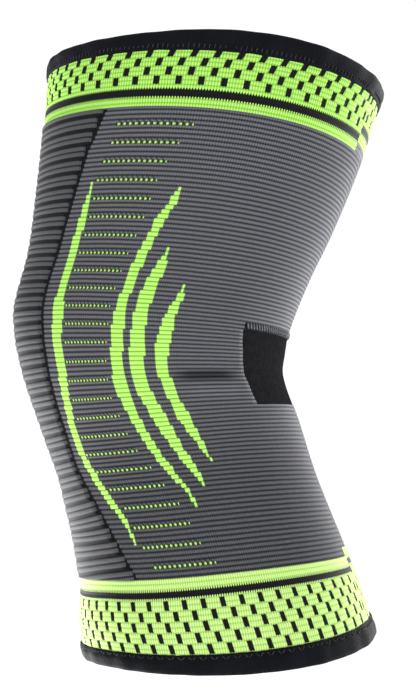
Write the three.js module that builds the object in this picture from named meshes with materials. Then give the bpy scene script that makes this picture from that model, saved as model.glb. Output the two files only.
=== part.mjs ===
// Knee sleeve: a tube of elastic rib knit, shaped by a knee that is a little bent.
// Millimetres, +Z up along the leg, the kneecap toward -Y and one side toward +X.
// The origin is the middle of the knee section, inside the hollow.
import * as THREE from "three";

// Length of each half, from the knee section to the middle of its rim
const thighLength = 124;
const calfLength = 134;

// Outside sizes of the sections, front to back and side to side
const thighDepth = 158;
const thighWidth = 142;
const kneeDepth = 124;
const kneeWidth = 111;
const calfDepth = 137;
const calfWidth = 123;
const shinWaist = 10; // how much slimmer the sleeve is below the knee than its swell gives

// Bend: how far behind the knee section the middles of the rims lie
const thighSetback = 34;
const calfSetback = 41;

// Tilt of a knitted round, in degrees, positive where its back end is the higher one
const thighTilt = -5;
const kneeTilt = -1.6;
const calfTilt = 4;

// Saddle: how far a round rises at the sides over its front and back
const thighSaddle = 3.6;
const kneeSaddle = 0.4;
const calfSaddle = 4.5;

// Knit walls and the bands
const knitWall = 2;
const cuffWall = 2.4;
const panelWall = 2.6;
const windowWall = 1.5;
const topCuffHeight = 24;
const bottomCuffHeight = 27.8;
const seamGap = 0.3;

// Rolled tape round each rim
const bindingHeight = 8.6;
const bindingThickness = 4.4;
const bindingProud = 1.4; // how far the tape stands out from the cuff
const bindingRound = 1.6; // radius of its edges

// Front panel: raised ribs across the kneecap, and half its spread at the cuffs in degrees
const panelHalfAngle = 27;
const ribPitch = 5.5;
const ribRise = 1.1;

// Window of fine knit in the hollow of the knee
const windowHeight = 34.6;
const windowMiddle = -10;
const windowHalfAngle = 75;

// Facets
const roundFacets = 48;
const panelFacets = 6;
const sideFacets = 12;
const windowFacets = 16;
const rowStep = 9;

// Sections of the thigh half, from the knee up, as shares of the sizes above.
// height: of thighLength. setback: of thighSetback. swell, tilt and saddle: from knee to thigh.
const thighSections = [
  { height: 0.0, setback: 0.0, swell: 0.0, tilt: 0.0, saddle: 0.0 },
  { height: 0.1, setback: 0.02, swell: 0.09, tilt: 0.7, saddle: 0.05 },
  { height: 0.29, setback: 0.27, swell: 0.2, tilt: 1.05, saddle: 0.2 },
  { height: 0.48, setback: 0.51, swell: 0.44, tilt: 1.35, saddle: 0.6 },
  { height: 0.71, setback: 0.76, swell: 0.72, tilt: 1.35, saddle: 0.9 },
  { height: 0.87, setback: 0.89, swell: 0.9, tilt: 1.05, saddle: 0.9 },
  { height: 1.0, setback: 1.0, swell: 1.0, tilt: 0.8, saddle: 1.0 },
];

// Sections of the calf half, from the knee down; waist is the share of shinWaist taken off.
const calfSections = [
  { height: 0.0, setback: 0.0, swell: 0.0, waist: 0.0, tilt: 0.0, saddle: 0.0 },
  { height: 0.1, setback: 0.04, swell: 0.03, waist: 0.5, tilt: 0.45, saddle: 0.2 },
  { height: 0.27, setback: 0.25, swell: 0.2, waist: 0.75, tilt: 0.75, saddle: 0.7 },
  { height: 0.45, setback: 0.47, swell: 0.42, waist: 1.0, tilt: 0.65, saddle: 1.0 },
  { height: 0.72, setback: 0.79, swell: 0.85, waist: 0.9, tilt: 0.8, saddle: 0.75 },
  { height: 0.86, setback: 0.88, swell: 1.0, waist: 0.35, tilt: 1.1, saddle: 0.15 },
  { height: 1.0, setback: 1.0, swell: 1.0, waist: 0.0, tilt: 0.95, saddle: -0.8 },
];

// Border of the front panel. height: share of the leg part, from the calf cuff up.
// spread: share of panelHalfAngle.
const panelBorder = [
  { height: 0.0, spread: 1.05 },
  { height: 0.07, spread: 0.86 },
  { height: 0.13, spread: 0.7 },
  { height: 0.19, spread: 0.54 },
  { height: 0.25, spread: 0.43 },
  { height: 0.34, spread: 0.46 },
  { height: 0.52, spread: 0.53 },
  { height: 0.72, spread: 0.56 },
  { height: 0.79, spread: 0.64 },
  { height: 0.86, spread: 0.74 },
  { height: 0.93, spread: 0.82 },
  { height: 1.0, spread: 1.0 },
];

// Folds on each side. height: share of thighLength above the knee section, or of calfLength
// below it. angle and reach: degrees round from the front. halfHeight and rise: millimetres,
// and a rise below zero is a dent.
const sideFolds = [
  { height: 0.09, angle: 94, reach: 26, halfHeight: 10, rise: 1.0 },
  { height: -0.1, angle: 87, reach: 22, halfHeight: 3.2, rise: -2.4 },
  { height: -0.14, angle: 88, reach: 24, halfHeight: 3.5, rise: 0.7 },
];

// One rib of the front panel, from one valley to the next. along: share of the pitch.
const ribProfile = [
  { along: 0.0, rise: 0.0 },
  { along: 0.3, rise: 1.0 },
  { along: 0.76, rise: 1.0 },
];

// Heights where one band ends and the next begins
const topCuffEdge = thighLength - bindingHeight;
const legTop = topCuffEdge - topCuffHeight;
const bottomCuffEdge = -calfLength + bindingHeight;
const legBottom = bottomCuffEdge + bottomCuffHeight;
const windowTop = windowMiddle + windowHeight / 2;
const windowBottom = windowMiddle - windowHeight / 2;
const halfGap = seamGap / 2;

const radians = THREE.MathUtils.degToRad;
const mix = THREE.MathUtils.lerp;

// Slope of a table's column at one row, the mean of the slopes on both sides
function slopeAt(rows, column, index) {
  const before = rows[Math.max(index - 1, 0)];
  const after = rows[Math.min(index + 1, rows.length - 1)];
  return (after[column] - before[column]) / (after.height - before.height);
}

// Value of a table's column at a height, on a smooth curve through its rows
function smoothValue(rows, column, height) {
  const last = rows.length - 2;
  let index = 0;
  while (index < last && height > rows[index + 1].height) index += 1;
  const low = rows[index];
  const high = rows[index + 1];
  const span = high.height - low.height;
  const t = (height - low.height) / span;
  const startSlope = slopeAt(rows, column, index) * span;
  const endSlope = slopeAt(rows, column, index + 1) * span;
  const start = (2 * t ** 3 - 3 * t ** 2 + 1) * low[column] + (t ** 3 - 2 * t ** 2 + t) * startSlope;
  const end = (3 * t ** 2 - 2 * t ** 3) * high[column] + (t ** 3 - t ** 2) * endSlope;
  return start + end;
}

// Value of a table's column at a height, on straight lines between its rows
function straightValue(rows, column, height) {
  const last = rows.length - 2;
  let index = 0;
  while (index < last && height > rows[index + 1].height) index += 1;
  const low = rows[index];
  const high = rows[index + 1];
  return mix(low[column], high[column], (height - low.height) / (high.height - low.height));
}

// The knitted round whose middle lies at a height above the knee section
function sectionAt(height) {
  const onThigh = height >= 0;
  const rows = onThigh ? thighSections : calfSections;
  const share = onThigh ? height / thighLength : -height / calfLength;
  const value = (column) => smoothValue(rows, column, share);
  const swell = value("swell");
  const waist = onThigh ? 0 : value("waist") * shinWaist;
  return {
    setback: value("setback") * (onThigh ? thighSetback : calfSetback),
    depth: mix(kneeDepth, onThigh ? thighDepth : calfDepth, swell) - waist,
    width: mix(kneeWidth, onThigh ? thighWidth : calfWidth, swell) - waist,
    tilt: mix(kneeTilt, onThigh ? thighTilt : calfTilt, value("tilt")),
    saddle: mix(kneeSaddle, onThigh ? thighSaddle : calfSaddle, value("saddle")),
  };
}

// A bump that is 1 in its middle and falls smoothly to 0 at its reach
function bump(distance, reach) {
  const t = Math.min(Math.abs(distance) / reach, 1);
  return (1 - t * t) ** 2;
}

// Height of a fold's middle above the knee section
function foldHeight(fold) {
  return fold.height * (fold.height > 0 ? thighLength : calfLength);
}

// How far the folds push the wall out at a place; both sides have the same folds
function foldRise(height, angle) {
  const sideAngle = Math.abs(angle);
  let rise = 0;
  for (const fold of sideFolds) {
    const near = bump(sideAngle - fold.angle, fold.reach);
    rise += fold.rise * near * bump(height - foldHeight(fold), fold.halfHeight);
  }
  return rise;
}

// A point of the sleeve. angle: degrees round from the front, positive toward +X and negative
// toward -X. out: how far outside the bare outer face it lies.
function sleevePoint(height, angle, out) {
  const section = sectionAt(height);
  const push = out + foldRise(height, angle);
  const turn = radians(angle);
  const tilt = radians(section.tilt);
  const back = -(section.depth / 2 + push) * Math.cos(turn);
  return new THREE.Vector3(
    (section.width / 2 + push) * Math.sin(turn),
    section.setback + back * Math.cos(tilt),
    height + back * Math.sin(tilt) + section.saddle * Math.sin(turn) ** 2,
  );
}

// Angle that a gap along the surface takes up at a height
function gapAngle(height, gap) {
  const section = sectionAt(height);
  return THREE.MathUtils.radToDeg(gap / ((section.depth + section.width) / 4));
}

// Angle from the front to the panel's border at a height
function borderAngle(height) {
  const share = (height - legBottom) / (legTop - legBottom);
  return panelHalfAngle * straightValue(panelBorder, "spread", share);
}

// Heights from the lowest mark to the highest, with every mark and no step over rowStep
function rowHeights(marks) {
  const sorted = [...marks].sort((a, b) => a - b);
  const heights = [sorted[0]];
  for (let i = 1; i < sorted.length; i += 1) {
    const span = sorted[i] - sorted[i - 1];
    const steps = Math.max(1, Math.ceil(span / rowStep));
    for (let k = 1; k <= steps; k += 1) heights.push(sorted[i - 1] + (span * k) / steps);
  }
  return heights;
}

// Evenly spread values from one end to the other
function spread(from, to, steps) {
  return Array.from({ length: steps + 1 }, (unused, i) => mix(from, to, i / steps));
}

// A closed mesh from vertices and faces of three or four corners
function closedMesh(name, points, faces, material) {
  const positions = points.flatMap((point) => point.toArray());
  const triangles = [];
  for (const face of faces) {
    triangles.push(face[0], face[1], face[2]);
    if (face.length === 4) triangles.push(face[0], face[2], face[3]);
  }
  const geometry = new THREE.BufferGeometry();
  geometry.setAttribute("position", new THREE.Float32BufferAttribute(positions, 3));
  geometry.setIndex(triangles);
  geometry.computeVertexNormals();
  const mesh = new THREE.Mesh(geometry, material);
  mesh.name = name;
  return mesh;
}

// A knitted wall over a grid of rows and columns. pointAt(row, column, inside) gives a corner,
// and isOpen(row, column) leaves a cell out. A closed grid joins its last column to its first.
function knitShell(name, grid, material) {
  const { rows, columns, closed, pointAt, isOpen } = grid;
  const points = [];
  for (const inside of [false, true]) {
    for (let row = 0; row < rows; row += 1) {
      for (let column = 0; column < columns; column += 1) points.push(pointAt(row, column, inside));
    }
  }
  const outer = (row, column) => row * columns + (column % columns);
  const inner = (row, column) => rows * columns + outer(row, column);
  const cellColumns = closed ? columns : columns - 1;
  const filled = (row, column) => {
    const around = closed ? (column + cellColumns) % cellColumns : column;
    if (row < 0 || row >= rows - 1 || around < 0 || around >= cellColumns) return false;
    return !isOpen(row, around);
  };
  const faces = [];
  for (let row = 0; row < rows - 1; row += 1) {
    for (let column = 0; column < cellColumns; column += 1) {
      if (!filled(row, column)) continue;
      const corners = [[row, column], [row, column + 1], [row + 1, column + 1], [row + 1, column]];
      const neighbours = [[row - 1, column], [row, column + 1], [row + 1, column], [row, column - 1]];
      faces.push(corners.map((corner) => outer(...corner)));
      faces.push(corners.map((corner) => inner(...corner)).reverse());
      neighbours.forEach((neighbour, side) => {
        if (filled(...neighbour)) return;
        const from = corners[side];
        const to = corners[(side + 1) % 4];
        faces.push([inner(...from), inner(...to), outer(...to), outer(...from)]);
      });
    }
  }
  const used = [...new Set(faces.flat())].sort((a, b) => a - b);
  const place = new Map(used.map((old, index) => [old, index]));
  const kept = used.map((old) => points[old]);
  return closedMesh(name, kept, faces.map((face) => face.map((corner) => place.get(corner))), material);
}

// A whole knitted round between two heights, such as a cuff
function roundBand(name, low, high, wall, material) {
  const heights = rowHeights([low, high]);
  const angles = spread(0, 360, roundFacets).slice(0, roundFacets);
  return knitShell(name, {
    rows: heights.length,
    columns: roundFacets,
    closed: true,
    pointAt: (row, column, inside) => sleevePoint(heights[row], angles[column], inside ? -wall : 0),
    isOpen: () => false,
  }, material);
}

// The rolled tape round a rim, from its seam with the cuff to the rim
function rolledBinding(name, seam, rim, material) {
  const way = Math.sign(rim - seam);
  const height = Math.abs(rim - seam) - halfGap;
  const inset = bindingRound;
  const inner = bindingProud - bindingThickness;
  const across = [inner, inner + inset, bindingProud - inset, bindingProud];
  const along = [0, inset, height - inset, height];
  const outline = [
    [across[1], along[0]], [across[2], along[0]], [across[3], along[1]], [across[3], along[2]],
    [across[2], along[3]], [across[1], along[3]], [across[0], along[2]], [across[0], along[1]],
  ];
  if (way < 0) outline.reverse();
  const points = [];
  for (const angle of spread(0, 360, roundFacets).slice(0, roundFacets)) {
    for (const [out, up] of outline) points.push(sleevePoint(seam + way * (halfGap + up), angle, out));
  }
  const count = outline.length;
  const faces = [];
  for (let turn = 0; turn < roundFacets; turn += 1) {
    const next = (turn + 1) % roundFacets;
    for (let i = 0; i < count; i += 1) {
      const j = (i + 1) % count;
      faces.push([turn * count + i, next * count + i, next * count + j, turn * count + j]);
    }
  }
  return closedMesh(name, points, faces, material);
}

// The side and back knit, open at the front panel and at the window in the knee's hollow
function legTube(name, material) {
  const low = legBottom + halfGap;
  const high = legTop - halfGap;
  const borderMarks = panelBorder.slice(1, -1).map((row) => mix(legBottom, legTop, row.height));
  const foldMarks = [foldHeight(sideFolds[1]), foldHeight(sideFolds[1]) + sideFolds[1].halfHeight];
  const heights = rowHeights([low, high, windowTop, windowBottom, ...borderMarks, ...foldMarks]);
  const columns = 2 * sideFacets + windowFacets + 1;
  const windowEdge = 180 - windowHalfAngle;
  const angleAt = (row, column) => {
    const height = heights[row];
    const border = borderAngle(height) + gapAngle(height, halfGap);
    if (column <= sideFacets) return mix(border, windowEdge, column / sideFacets);
    const past = column - sideFacets;
    if (past <= windowFacets) return windowEdge + (2 * windowHalfAngle * past) / windowFacets;
    return mix(360 - windowEdge, 360 - border, (past - windowFacets) / sideFacets);
  };
  return knitShell(name, {
    rows: heights.length,
    columns,
    closed: false,
    pointAt: (row, column, inside) => {
      const angle = angleAt(row, column);
      return sleevePoint(heights[row], angle > 180 ? angle - 360 : angle, inside ? -knitWall : 0);
    },
    isOpen: (row, column) => {
      const inRows = heights[row] >= windowBottom && heights[row + 1] <= windowTop;
      return inRows && column >= sideFacets && column < sideFacets + windowFacets;
    },
  }, material);
}

// The thick panel over the kneecap and shin, with one raised rib after another
function frontPanel(name, material) {
  const low = legBottom + halfGap;
  const high = legTop - halfGap;
  const ribCount = Math.round((high - low) / ribPitch);
  const pitch = (high - low) / ribCount;
  const stations = [];
  for (let rib = 0; rib < ribCount; rib += 1) {
    for (const row of ribProfile) stations.push({ height: low + (rib + row.along) * pitch, rise: row.rise });
  }
  stations.push({ height: high, rise: 0 });
  return knitShell(name, {
    rows: stations.length,
    columns: panelFacets + 1,
    closed: false,
    pointAt: (row, column, inside) => {
      const { height, rise } = stations[row];
      const border = borderAngle(height) - gapAngle(height, halfGap);
      const onBorder = column === 0 || column === panelFacets;
      const out = inside ? -panelWall : rise * (onBorder ? 0 : ribRise);
      return sleevePoint(height, mix(-border, border, column / panelFacets), out);
    },
    isOpen: () => false,
  }, material);
}

// The panel of fine knit that fills the window in the hollow of the knee
function kneeWindow(name, material) {
  const heights = rowHeights([windowBottom + seamGap, windowTop - seamGap]);
  return knitShell(name, {
    rows: heights.length,
    columns: windowFacets + 1,
    closed: false,
    pointAt: (row, column, inside) => {
      const reach = windowHalfAngle - gapAngle(heights[row], seamGap);
      const angle = 180 + mix(-reach, reach, column / windowFacets);
      return sleevePoint(heights[row], angle > 180 ? angle - 360 : angle, inside ? -windowWall : 0);
    },
    isOpen: () => false,
  }, material);
}

// One knit finish; every piece gets a material of its own
function knit(colour, roughness) {
  return new THREE.MeshStandardMaterial({ color: colour, roughness, metalness: 0 });
}

const lime = 0xa6ee52;
const slate = 0x6a6a6e;
const ash = 0x77797b;
const coal = 0x1b1b1f;
const ink = 0x15171f;

const sleeve = new THREE.Group();
sleeve.add(
  rolledBinding("top_binding", topCuffEdge, thighLength, knit(ink, 0.9)),
  roundBand("top_cuff", legTop + halfGap, topCuffEdge - halfGap, cuffWall, knit(lime, 0.8)),
  legTube("leg_tube", knit(slate, 0.85)),
  frontPanel("front_panel", knit(ash, 0.85)),
  kneeWindow("popliteal_panel", knit(coal, 0.9)),
  roundBand("bottom_cuff", bottomCuffEdge + halfGap, legBottom - halfGap, cuffWall, knit(lime, 0.8)),
  rolledBinding("bottom_binding", bottomCuffEdge, -calfLength, knit(ink, 0.9)),
);

export default sleeve;
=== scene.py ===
"""Knee sleeve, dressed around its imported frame: knit walls, rolled tapes, threads and a studio."""
import logging
import math
from collections.abc import Callable, Sequence
from dataclasses import dataclass, field
from enum import Enum

import bmesh
import bpy
import numpy as np
from mathutils import Matrix, Vector


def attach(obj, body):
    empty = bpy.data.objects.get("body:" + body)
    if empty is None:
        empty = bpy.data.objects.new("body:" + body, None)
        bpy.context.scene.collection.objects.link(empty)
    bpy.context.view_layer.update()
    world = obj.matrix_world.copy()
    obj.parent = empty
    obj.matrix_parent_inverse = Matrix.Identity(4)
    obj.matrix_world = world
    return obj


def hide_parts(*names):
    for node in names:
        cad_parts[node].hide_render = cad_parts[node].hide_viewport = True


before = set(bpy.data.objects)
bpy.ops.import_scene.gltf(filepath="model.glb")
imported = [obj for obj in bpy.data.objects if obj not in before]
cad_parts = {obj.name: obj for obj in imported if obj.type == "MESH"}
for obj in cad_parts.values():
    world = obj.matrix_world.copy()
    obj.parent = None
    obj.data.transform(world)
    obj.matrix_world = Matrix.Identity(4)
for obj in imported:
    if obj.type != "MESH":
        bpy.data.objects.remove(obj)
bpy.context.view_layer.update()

Points = np.ndarray
Colour = tuple[float, float, float]

LOG = logging.getLogger("knee_sleeve")

# Courses of the knit, counted down the leg from the seam under the thigh cuff
TOP_RIM = -17.8
TOP_TAPE = -13.6
TOP_SEAM = -1.5
BOTTOM_SEAM = 100.3
BOTTOM_TAPE = 114.9
BOTTOM_RIM = 119.6

# Span of courses that a UV map covers, and the turn it covers, in degrees
FIRST_COURSE = -20.0
COURSE_SPAN = 140.0
TURN_SPAN = 720.0

# Wales of the knit all round, and the turn, in degrees, where the rounds of each cuff begin
WALES = 380.0
TOP_JOG = 131.0
BOTTOM_JOG = 136.0

# How many courses a cuff's rounds jump there, and over which turn the jump is taken back
JOG_COURSES = 2.0
JOG_FADE = 200.0

# Share of a flat grid that counts as its end, what counts as one place on it, and its flat thickness
END_SHARE = 1e-4
SAME_PLACE = 1e-5
FLAT_WALL = 0.01


@dataclass(frozen=True)
class Section:
    """One knitted round of a half of the leg, as shares of the form's named sizes."""

    height: float
    setback: float
    swell: float
    tilt: float
    saddle: float
    waist: float = 0.0


@dataclass(frozen=True)
class Fold:
    """A soft ridge, or a dent where its rise is below zero, on both sides of the sleeve."""

    height: float
    angle: float
    reach: float
    half_height: float
    rise: float


THIGH_SECTIONS = (
    Section(height=0.0, setback=0.0, swell=0.0, tilt=0.0, saddle=0.0),
    Section(height=0.1, setback=0.02, swell=0.09, tilt=0.7, saddle=0.05),
    Section(height=0.29, setback=0.27, swell=0.2, tilt=1.05, saddle=0.2),
    Section(height=0.48, setback=0.51, swell=0.44, tilt=1.35, saddle=0.6),
    Section(height=0.71, setback=0.76, swell=0.72, tilt=1.35, saddle=0.9),
    Section(height=0.87, setback=0.89, swell=0.9, tilt=1.05, saddle=0.9),
    Section(height=1.0, setback=1.0, swell=1.0, tilt=0.8, saddle=1.0),
)

CALF_SECTIONS = (
    Section(height=0.0, setback=0.0, swell=0.0, tilt=0.0, saddle=0.0),
    Section(height=0.1, setback=0.04, swell=0.03, tilt=0.45, saddle=0.2, waist=0.5),
    Section(height=0.27, setback=0.25, swell=0.2, tilt=0.75, saddle=0.7, waist=0.75),
    Section(height=0.45, setback=0.47, swell=0.42, tilt=0.65, saddle=1.0, waist=1.0),
    Section(height=0.72, setback=0.79, swell=0.85, tilt=0.8, saddle=0.75, waist=0.9),
    Section(height=0.86, setback=0.88, swell=1.0, tilt=1.1, saddle=0.15, waist=0.35),
    Section(height=1.0, setback=1.0, swell=1.0, tilt=0.95, saddle=-0.8),
)

SIDE_FOLDS = (
    Fold(height=0.09, angle=94, reach=26, half_height=0.010, rise=0.0010),
    Fold(height=-0.1, angle=87, reach=22, half_height=0.0032, rise=-0.0024),
    Fold(height=-0.14, angle=88, reach=24, half_height=0.0035, rise=0.0007),
)

# Course and its height in metres
COURSE_HEIGHTS = (
    (-17.8, 0.1240), (-13.6, 0.1154), (-10.0, 0.1084), (-1.5, 0.0914), (15.0, 0.0599), (29.0, 0.0349),
    (42.0, 0.0122), (50.0, -0.0007), (58.0, -0.0146), (70.0, -0.0370), (82.0, -0.0603), (100.3, -0.0976),
    (110.0, -0.1156), (114.9, -0.1254), (119.6, -0.1340),
)

# Course and the turn, in degrees from the front, where the front panel ends
PANEL_BORDER = (
    (-1.5, 26.8), (1.5, 24.8), (4.4, 23.4), (7.2, 21.2), (10.3, 20.3), (15.6, 18.5), (24.3, 15.9),
    (34.0, 14.6), (43.0, 14.8), (54.7, 13.9), (63.4, 12.6), (72.0, 12.0), (76.4, 11.6), (80.3, 13.2),
    (84.6, 16.6), (91.0, 21.0), (96.0, 24.6), (100.3, 28.4),
)

# Course, and where the two edges of each lime shape lie, in degrees from the front
FRONT_LINE = (
    (14.6, 26.8, 27.4), (20.0, 24.8, 27.8), (26.0, 23.2, 26.8), (32.0, 22.9, 26.6), (38.0, 22.9, 26.8),
    (41.0, 22.0, 27.0), (45.0, 21.8, 27.0), (49.0, 20.4, 25.8), (57.0, 20.4, 25.1), (62.0, 18.8, 23.0),
    (66.5, 17.5, 21.2), (71.0, 16.8, 20.5), (76.0, 18.0, 21.5), (80.6, 21.0, 24.8), (84.0, 24.2, 28.2),
    (88.0, 29.0, 31.8), (92.9, 32.6, 33.4),
)
FIRST_SWOOSH = (
    (15.4, 60.8, 61.2), (17.2, 59.3, 62.0), (19.3, 58.0, 60.8), (22.0, 55.6, 59.0), (27.0, 53.5, 57.0),
    (32.0, 51.6, 55.6), (39.0, 50.7, 54.5), (47.0, 48.5, 53.6), (55.0, 47.0, 52.0), (61.0, 46.6, 52.0),
    (67.0, 48.5, 52.6), (73.5, 51.2, 55.0), (79.4, 55.5, 59.0), (84.0, 61.2, 62.8), (86.6, 62.4, 63.2),
)
SECOND_SWOOSH = (
    (28.4, 62.8, 63.4), (30.8, 61.3, 64.0), (35.0, 59.0, 64.0), (41.0, 57.7, 63.0), (50.6, 55.5, 61.3),
    (55.0, 55.0, 61.0), (61.0, 55.2, 61.0), (69.0, 58.0, 64.0), (74.6, 61.5, 65.8), (79.4, 65.0, 68.6),
    (82.6, 68.6, 69.2),
)
THIRD_SWOOSH = (
    (36.3, 73.0, 73.6), (39.0, 72.0, 74.8), (42.4, 69.8, 73.5), (48.6, 66.2, 72.0), (54.0, 65.0, 70.2),
    (62.0, 66.6, 71.0), (68.0, 67.8, 73.0), (73.5, 71.6, 74.5), (77.5, 74.8, 75.4),
)
DOT_ROWS = (
    (2.0, 33.0, 60.5), (6.0, 31.8, 57.0), (10.0, 29.8, 54.2), (14.0, 28.5, 52.4), (22.0, 28.4, 51.0),
    (30.0, 27.3, 48.6), (46.0, 27.8, 47.3), (54.0, 26.0, 45.2), (62.0, 24.0, 43.4), (70.0, 21.6, 44.8),
    (74.0, 20.6, 46.5), (78.0, 23.2, 49.8), (82.0, 27.2, 52.8), (86.0, 32.0, 56.5), (94.0, 35.2, 60.0),
    (98.0, 38.2, 64.0),
)


class SmoothCurve:
    """A smooth curve through knots, each slope being the mean of the slopes on both sides."""

    def __init__(self, places: Sequence[float], values: Sequence[float]) -> None:
        """Keep the knots and work out the slope at each."""
        self.places = np.array(places, dtype=float)
        self.values = np.array(values, dtype=float)
        index = np.arange(len(self.places))
        before = np.maximum(index - 1, 0)
        after = np.minimum(index + 1, len(index) - 1)
        rise = self.values[after] - self.values[before]
        self.slopes = rise / (self.places[after] - self.places[before])

    def __call__(self, place: Points) -> Points:
        """Value of the curve at each place.

        Args:
            place: Where the curve is read.

        Returns:
            The values, one for each place.
        """
        place = np.asarray(place, dtype=float)
        low = np.clip(np.searchsorted(self.places, place, side="right") - 1, 0, len(self.places) - 2)
        high = low + 1
        span = self.places[high] - self.places[low]
        t = (place - self.places[low]) / span
        start = (2 * t**3 - 3 * t**2 + 1) * self.values[low] + (t**3 - 2 * t**2 + t) * self.slopes[low] * span
        end = (3 * t**2 - 2 * t**3) * self.values[high] + (t**3 - t**2) * self.slopes[high] * span
        return start + end


def mix(low: Points | float, high: Points | float, share: Points | float) -> Points:
    """Value a share of the way from low to high."""
    return low + (high - low) * share


def smoothstep(low: float, high: float, value: Points) -> Points:
    """Smooth rise from 0 at low to 1 at high."""
    t = np.clip((value - low) / (high - low), 0.0, 1.0)
    return t * t * (3.0 - 2.0 * t)


def bump(distance: Points, reach: float) -> Points:
    """A bump that is 1 in its middle and falls smoothly to 0 at its reach."""
    t = np.minimum(np.abs(distance) / reach, 1.0)
    return (1.0 - t * t) ** 2


def section_curves(sections: Sequence[Section]) -> dict[str, SmoothCurve]:
    """A smooth curve over height for each column of a table of sections."""
    heights = [section.height for section in sections]
    columns = ("setback", "swell", "tilt", "saddle", "waist")
    return {name: SmoothCurve(heights, [getattr(row, name) for row in sections]) for name in columns}


@dataclass(frozen=True)
class LegForm:
    """The outer face of the sleeve on a knee that is a little bent. Metres and degrees."""

    thigh_length: float = 0.124
    calf_length: float = 0.134
    thigh_depth: float = 0.158
    thigh_width: float = 0.142
    knee_depth: float = 0.124
    knee_width: float = 0.111
    calf_depth: float = 0.137
    calf_width: float = 0.123
    shin_waist: float = 0.010
    thigh_setback: float = 0.034
    calf_setback: float = 0.041
    thigh_tilt: float = -5.0
    knee_tilt: float = -1.6
    calf_tilt: float = 4.0
    thigh_saddle: float = 0.0036
    knee_saddle: float = 0.0004
    calf_saddle: float = 0.0045
    calf_droop: float = 0.0024
    droop_turn: float = -32.0
    droop_reach: float = 50.0
    droop_heights: tuple[float, float] = (-0.078, -0.098)
    rim_heights: tuple[float, float] = (-0.118, -0.136)
    rim_droop_share: float = 0.4
    thigh_curves: dict[str, SmoothCurve] = field(default_factory=lambda: section_curves(THIGH_SECTIONS))
    calf_curves: dict[str, SmoothCurve] = field(default_factory=lambda: section_curves(CALF_SECTIONS))
    course_curve: SmoothCurve = field(default_factory=lambda: SmoothCurve(*zip(*COURSE_HEIGHTS)))

    def height_of(self, course: Points | float) -> Points:
        """Height of a course's middle over the knee section, in metres."""
        return self.course_curve(course)

    def fold_rise(self, height: Points, angle: Points) -> Points:
        """How far the folds push the wall out.

        Args:
            height: Heights over the knee section.
            angle: Turns from the front, in degrees.

        Returns:
            The rise in metres, below zero in a dent.
        """
        side_angle = 180.0 - np.abs(np.mod(angle, 360.0) - 180.0)
        rise = np.zeros_like(height)
        for fold in SIDE_FOLDS:
            length = self.thigh_length if fold.height > 0 else self.calf_length
            near = bump(side_angle - fold.angle, fold.reach)
            rise = rise + fold.rise * near * bump(height - fold.height * length, fold.half_height)
        return rise

    def droop(self, height: Points, angle: Points) -> Points:
        """How far the far side of the calf cuff hangs down, in metres."""
        signed = np.mod(angle + 180.0, 360.0) - 180.0
        near = smoothstep(*self.droop_heights, height)
        near = near * mix(1.0, self.rim_droop_share, smoothstep(*self.rim_heights, height))
        return self.calf_droop * near * bump(signed - self.droop_turn, self.droop_reach)

    def place(self, height: Points, angle: Points, out: Points | float) -> Points:
        """Points of the sleeve.

        Args:
            height: Height of the knitted round's middle over the knee section.
            angle: Turn from the front in degrees, positive toward +X.
            out: How far outside the bare outer face the point lies.

        Returns:
            An array of three columns, in metres.
        """
        height, angle, out = np.broadcast_arrays(height, angle, out)
        on_thigh = height >= 0
        share = np.where(on_thigh, height / self.thigh_length, -height / self.calf_length)
        value = {
            name: np.where(on_thigh, self.thigh_curves[name](share), self.calf_curves[name](share))
            for name in self.thigh_curves
        }

        def between(knee: float, thigh: float, calf: float, column: str) -> Points:
            """A size on its way from the knee to the nearer rim."""
            return mix(knee, np.where(on_thigh, thigh, calf), value[column])

        waist = value["waist"] * self.shin_waist
        depth = between(self.knee_depth, self.thigh_depth, self.calf_depth, "swell")
        width = between(self.knee_width, self.thigh_width, self.calf_width, "swell")
        tilt = between(self.knee_tilt, self.thigh_tilt, self.calf_tilt, "tilt")
        saddle = between(self.knee_saddle, self.thigh_saddle, self.calf_saddle, "saddle")
        setback = value["setback"] * np.where(on_thigh, self.thigh_setback, self.calf_setback)
        push = out + self.fold_rise(height, angle)
        turn = np.radians(angle)
        lean = np.radians(tilt)
        back = -((depth - waist) / 2 + push) * np.cos(turn)
        side = ((width - waist) / 2 + push) * np.sin(turn)
        rise = height + back * np.sin(lean) + saddle * np.sin(turn) ** 2 - self.droop(height, angle)
        return np.stack([side, setback + back * np.cos(lean), rise], axis=-1)


@dataclass
class Laid:
    """Where the points of a flat wall go: their places, and the turn and course they show."""

    places: Points
    turn: Points
    course: Points


@dataclass
class WallPlan:
    """A knit wall as a flat grid, and how it is laid round the leg.

    The grid runs round the leg along its width and up the leg along its height. lay() gets the two
    shares and whether a point is inside, and cut() tells which cells are left out.
    """

    columns: int
    rows: int
    closed: bool
    lay: Callable[[Points, Points, Points], Laid]
    cut: Callable[[float, float], bool] | None = None


def close_ring(bm: bmesh.types.BMesh, flat_side: Points) -> None:
    """Sew the two ends of a laid band together.

    Args:
        bm: The laid band, open at both ends.
        flat_side: For each vertex, its place along the flat grid's width, from 0 to 1.
    """
    ends = [vert for vert in bm.verts if min(flat_side[vert.index], 1 - flat_side[vert.index]) < END_SHARE]
    bmesh.ops.remove_doubles(bm, verts=ends, dist=SAME_PLACE)


def face_outward(bm: bmesh.types.BMesh) -> None:
    """Turn a closed mesh's faces outward if they all point in."""
    if bm.calc_volume(signed=True) < 0:
        bmesh.ops.reverse_faces(bm, faces=bm.faces[:])


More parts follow.
